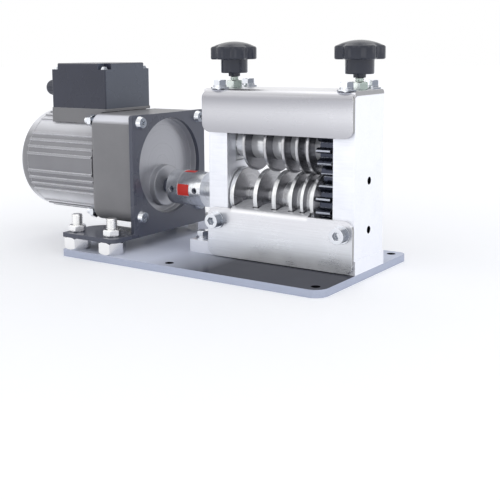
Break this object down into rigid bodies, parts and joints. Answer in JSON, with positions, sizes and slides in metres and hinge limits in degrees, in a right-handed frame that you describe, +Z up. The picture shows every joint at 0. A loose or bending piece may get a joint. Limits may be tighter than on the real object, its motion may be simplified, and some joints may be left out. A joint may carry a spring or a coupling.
{
  "type": "electric wire stripping machine",
  "caption": "Bench wire stripper: grooved roller and round knives between side plates, with height knobs, covers, comb, jaw coupling and gear motor on one base plate.",
  "frame": {"origin": "centre of the base plate's underside", "axes": "+X along the shafts from the motor to the head, +Y from the feed side to the back, +Z up out of the base plate"},
  "size_m": [0.2879, 0.12, 0.15],
  "materials": {
    "aluminium": "satin",
    "base": "polished",
    "sheet": "brushed",
    "steel": "turned",
    "knife": "ground",
    "zinc": "zinc plated",
    "gear": "oiled",
    "black_steel": "satin black",
    "grey_cast": "satin grey",
    "motor_grey": "satin grey",
    "black_plastic": "satin",
    "red_insert": "matte",
    "bronze": "sintered",
    "terminal": "matte",
    "spring": "wire"
  },
  "bodies": {
    "frame": {"base_plate": "base", "head_base": "aluminium", "left_side_plate": "aluminium", "right_side_plate": "aluminium", "upper_cover": "sheet", "lower_cover": "sheet", "cover_bolts": "zinc", "cover_washers": "zinc", "lower_cover_screws": "zinc", "lower_cover_washers": "zinc", "head_base_bolts": "zinc", "head_base_washers": "zinc", "side_plate_screws": "zinc", "roller_bearings": "steel", "adjuster_nuts": "zinc", "lift_springs": "spring", "motor_bracket": "black_steel", "bracket_spacers": "zinc", "bracket_studs": "zinc", "bracket_nuts": "zinc", "gearbox_housing": "grey_cast", "gearbox_screws": "zinc", "gearbox_nuts": "zinc", "motor_housing": "motor_grey", "motor_end_cap": "motor_grey", "terminal_seat": "grey_cast", "terminal_cover": "black_plastic", "terminal_block": "terminal", "terminal_screws": "zinc", "cable_gland": "black_plastic"},
    "drive": {"gearbox_shaft": "black_steel", "coupling_motor_hub": "steel", "coupling_insert": "red_insert", "coupling_roller_hub": "steel", "coupling_set_screws": "black_steel", "grooved_roller": "steel", "lower_gear": "gear"},
    "knife_carriage": {"left_bearing_block": "steel", "right_bearing_block": "steel", "block_bushes": "bronze"},
    "knife_roller": {"knife_shaft": "steel", "knives": "knife", "knife_spacers": "steel", "upper_gear": "gear"},
    "left_adjuster": {"left_adjusting_screw": "zinc", "left_knob": "black_plastic"},
    "right_adjuster": {"right_adjusting_screw": "zinc", "right_knob": "black_plastic"}
  },
  "joints": [
    {"name": "roller_spin", "type": "hinge", "parent": "frame", "child": "drive", "pos_m": [0, 0.003, 0.0465], "axis": [1, 0, 0], "continuous": true},
    {"name": "blade_lift", "type": "slide", "parent": "frame", "child": "knife_carriage", "axis": [0, 0, 1], "range_m": [0, 0.003], "deforming": ["lift_springs"]},
    {"name": "knife_spin", "type": "hinge", "parent": "knife_carriage", "child": "knife_roller", "pos_m": [0.05, 0.003, 0.0815], "axis": [1, 0, 0], "continuous": true},
    {"name": "left_knob_turn", "type": "hinge", "parent": "knife_carriage", "child": "left_adjuster", "pos_m": [0.0015, 0.003, 0.13], "axis": [0, 0, 1], "range_deg": [0, 1080.5]},
    {"name": "right_knob_turn", "type": "hinge", "parent": "knife_carriage", "child": "right_adjuster", "pos_m": [0.0965, 0.003, 0.13], "axis": [0, 0, 1], "range_deg": [0, 1080.5]}
  ],
  "couplings": [
    {"joint": "knife_spin", "follows": "roller_spin", "ratio": -1},
    {"joint": "left_knob_turn", "follows": "blade_lift", "rad_per_m": 6283.2},
    {"joint": "right_knob_turn", "follows": "blade_lift", "rad_per_m": 6283.2}
  ]
}
